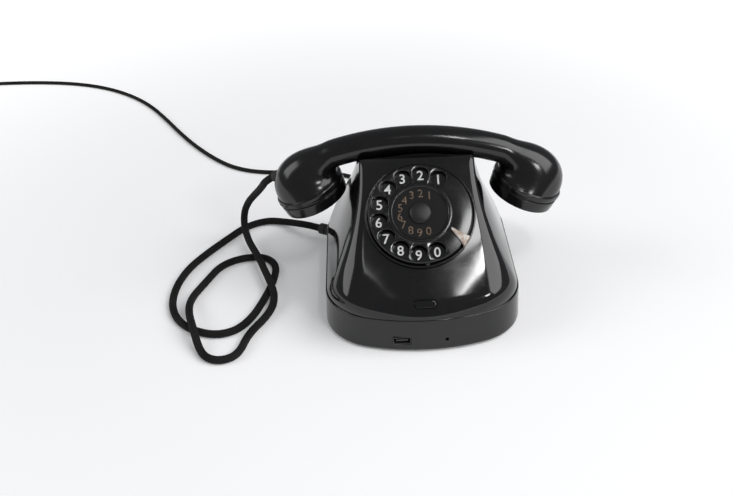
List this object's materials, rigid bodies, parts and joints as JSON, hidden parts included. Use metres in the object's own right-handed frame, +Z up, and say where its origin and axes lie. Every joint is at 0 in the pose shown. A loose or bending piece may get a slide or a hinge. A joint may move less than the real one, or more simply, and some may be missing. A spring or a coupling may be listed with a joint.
{
  "type": "rotary telephone",
  "caption": "Black moulded table telephone with a rotary dial, a lift-off handset on a sprung cradle, textile cords and a charging socket in the plinth.",
  "frame": {"origin": "on the table under the middle of the housing", "axes": "+Z up, the dial faces -Y, +X to the right of the dial as seen by the user"},
  "size_m": [0.7253, 0.6365, 0.1318],
  "materials": {
    "moulding": "glossy worn black moulded resin",
    "dial_black": "glossy black enamel",
    "nickel": "worn nickel over brass, tan",
    "label": "satin black card with faded tan digits",
    "rubber": "matt black rubber",
    "steel": "plain sheet steel",
    "brass": "plain brass",
    "copper": "lacquered copper winding",
    "cord": "dark textile braid",
    "line": "dark textile braid",
    "inner_plastic": "brown insulating plastic",
    "board": "green circuit board",
    "lamp": "dark lamp window",
    "spring": "spring steel",
    "gong": "turned bell brass"
  },
  "bodies": {
    "base": {"base_plate": "steel", "base_screws": "steel", "board_spacers": "inner_plastic", "button_bracket": "steel", "button_spring": "spring", "capacitor": "inner_plastic", "charging_board": "board", "charging_socket": "steel", "cord_gland": "rubber", "cord_tie": "rubber", "dial_case": "steel", "dial_screws": "steel", "feet": "rubber", "finger_stop": "nickel", "gong_posts": "steel", "gongs": "gong", "governor_bridge": "steel", "governor_drum": "steel", "handset_cord": "cord", "hook_contacts": "inner_plastic", "hook_frame": "steel", "hook_springs": "spring", "housing": "moulding", "indicator_lamp": "lamp", "induction_coil": "inner_plastic", "line_coil": "line", "line_cord": "line", "line_gland": "rubber", "number_ring": "dial_black", "plug_body": "inner_plastic", "plug_pins": "brass", "pulse_contacts": "brass", "return_spring": "spring", "ringer_coils": "copper", "ringer_yoke": "steel", "terminal_block": "inner_plastic", "terminal_screws": "brass"},
    "dial": {"finger_wheel": "dial_black", "label_disc": "label", "label_ring": "dial_black", "centre_cap": "dial_black", "dial_shaft": "steel", "drive_gear": "brass"},
    "governor": {"governor_spindle": "steel", "governor_weights": "brass"},
    "handset": {"handset_body": "moulding", "handset_grommet": "rubber", "ear_cap": "moulding", "mouth_cap": "moulding", "receiver_capsule": "inner_plastic", "transmitter_capsule": "inner_plastic", "capsule_contacts": "brass"},
    "hook": {"hook_plungers": "inner_plastic", "hook_bar": "steel"},
    "button": {"push_button": "moulding"},
    "ringer_clapper": {"clapper": "steel"}
  },
  "joints": [
    {"name": "dial_turn", "type": "hinge", "parent": "base", "child": "dial", "pos_m": [0, -0.0301, 0.0843], "axis": [0, 0.6388, -0.7694], "range_deg": [0, 320], "stiffness_Nm_per_rad": 0.01},
    {"name": "governor_spin", "type": "hinge", "parent": "base", "child": "governor", "pos_m": [0, -0.05164, 0.06642], "axis": [0, 0.6388, -0.7694], "range_deg": [-1990, 40]},
    {"name": "handset_lift", "type": "slide", "parent": "base", "child": "handset", "axis": [0, 0, 1], "range_m": [0, 0.12], "deforming": ["handset_cord"]},
    {"name": "hook_travel", "type": "slide", "parent": "base", "child": "hook", "axis": [0, 0, 1], "range_m": [0, 0.005], "deforming": ["hook_springs"]},
    {"name": "button_press", "type": "slide", "parent": "base", "child": "button", "axis": [0, 0.766, -0.6428], "range_m": [0, 0.0025], "stiffness_N_per_m": 400, "deforming": ["button_spring"]},
    {"name": "clapper_swing", "type": "hinge", "parent": "base", "child": "ringer_clapper", "pos_m": [0, 0.012, 0], "axis": [0, 0, 1], "range_deg": [-1.6, 1.6]}
  ],
  "couplings": [
    {"joint": "governor_spin", "follows": "dial_turn", "ratio": -6},
    {"joint": "hook_travel", "follows": "handset_lift", "ratio": 0.041667}
  ]
}
